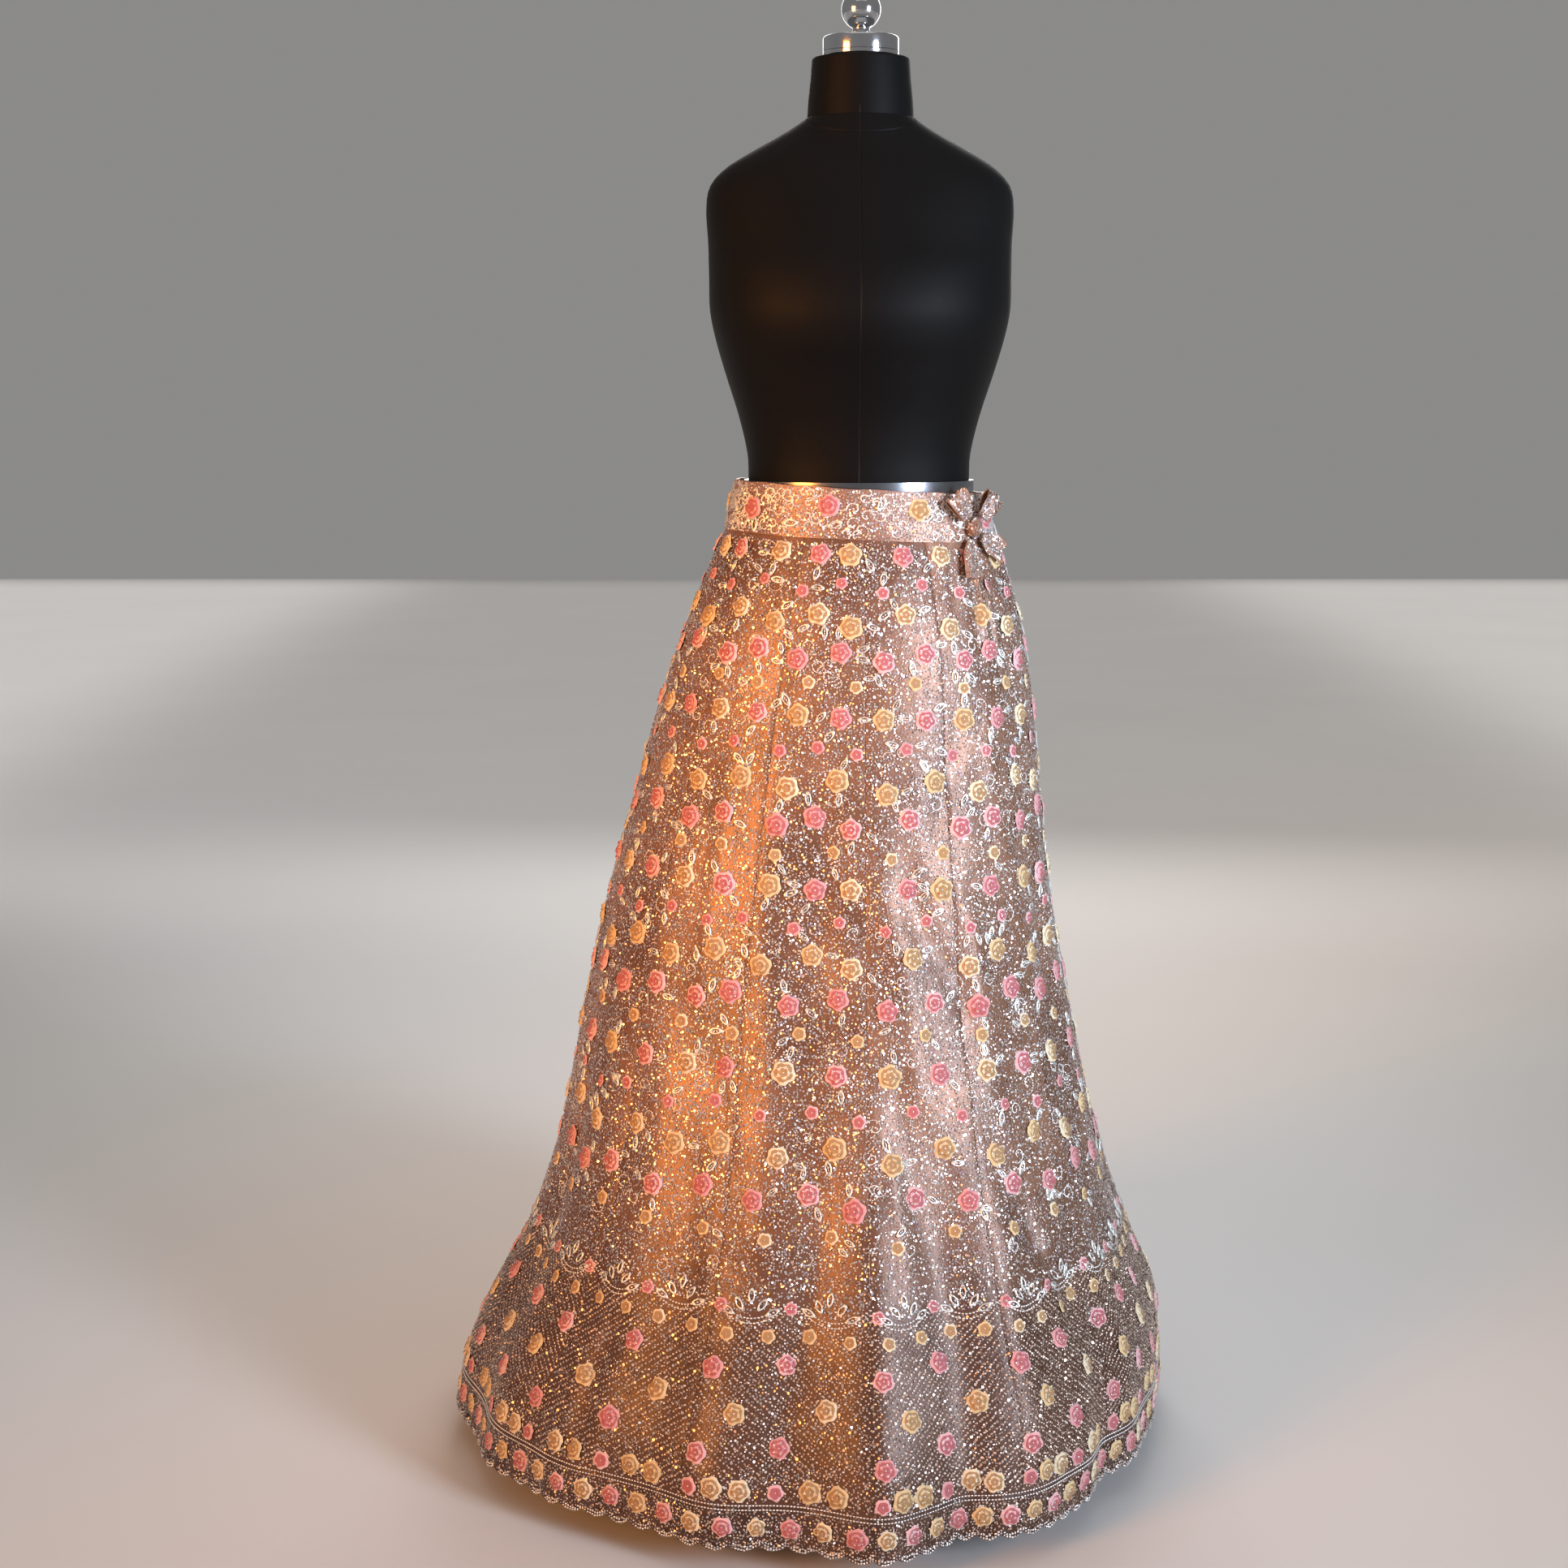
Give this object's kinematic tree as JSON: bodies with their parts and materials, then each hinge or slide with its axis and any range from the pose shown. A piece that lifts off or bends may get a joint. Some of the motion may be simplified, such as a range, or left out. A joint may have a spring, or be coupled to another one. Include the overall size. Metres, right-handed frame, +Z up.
{
  "type": "lehenga skirt on a dress form",
  "caption": "Floor-length flared lehenga skirt in panels with a scalloped beaded hem, a narrow waistband and a side tie, worn by a limbless dress form on a disc stand.",
  "frame": {"origin": "centre of the stand's flat underside, on the floor and on the axis of the dress form", "axes": "+Z up along the form's axis; -Y towards the front of the skirt; +X towards the side where the waist tie hangs"},
  "size_m": [0.8006, 0.8233, 1.5625],
  "materials": {
    "skirt_cloth": "satin under net, thick with sequins",
    "border_cloth": "beaded net",
    "band_cloth": "sequinned",
    "form_cover": "smooth black jersey",
    "bright_metal": "polished",
    "stand_paint": "satin black"
  },
  "bodies": {
    "root": {"panel_01": "skirt_cloth", "panel_02": "skirt_cloth", "panel_03": "skirt_cloth", "panel_04": "skirt_cloth", "panel_05": "skirt_cloth", "panel_06": "skirt_cloth", "panel_07": "skirt_cloth", "panel_08": "skirt_cloth", "panel_09": "skirt_cloth", "panel_10": "skirt_cloth", "panel_11": "skirt_cloth", "panel_12": "skirt_cloth", "panel_13": "skirt_cloth", "panel_14": "skirt_cloth", "border_01": "border_cloth", "border_02": "border_cloth", "border_03": "border_cloth", "border_04": "border_cloth", "border_05": "border_cloth", "border_06": "border_cloth", "border_07": "border_cloth", "border_08": "border_cloth", "border_09": "border_cloth", "border_10": "border_cloth", "border_11": "border_cloth", "border_12": "border_cloth", "border_13": "border_cloth", "border_14": "border_cloth", "waistband": "band_cloth", "tie_knot": "band_cloth", "tie_loop_front": "band_cloth", "tie_loop_side": "band_cloth", "tie_end_front": "band_cloth", "tie_end_side": "band_cloth", "form_torso": "form_cover", "form_hips": "form_cover", "form_neck": "form_cover", "form_waist_ring": "bright_metal", "neck_cap": "bright_metal", "neck_finial": "bright_metal", "stand_pole": "bright_metal", "stand_collar": "stand_paint", "stand_base": "stand_paint"}
  },
  "joints": []
}
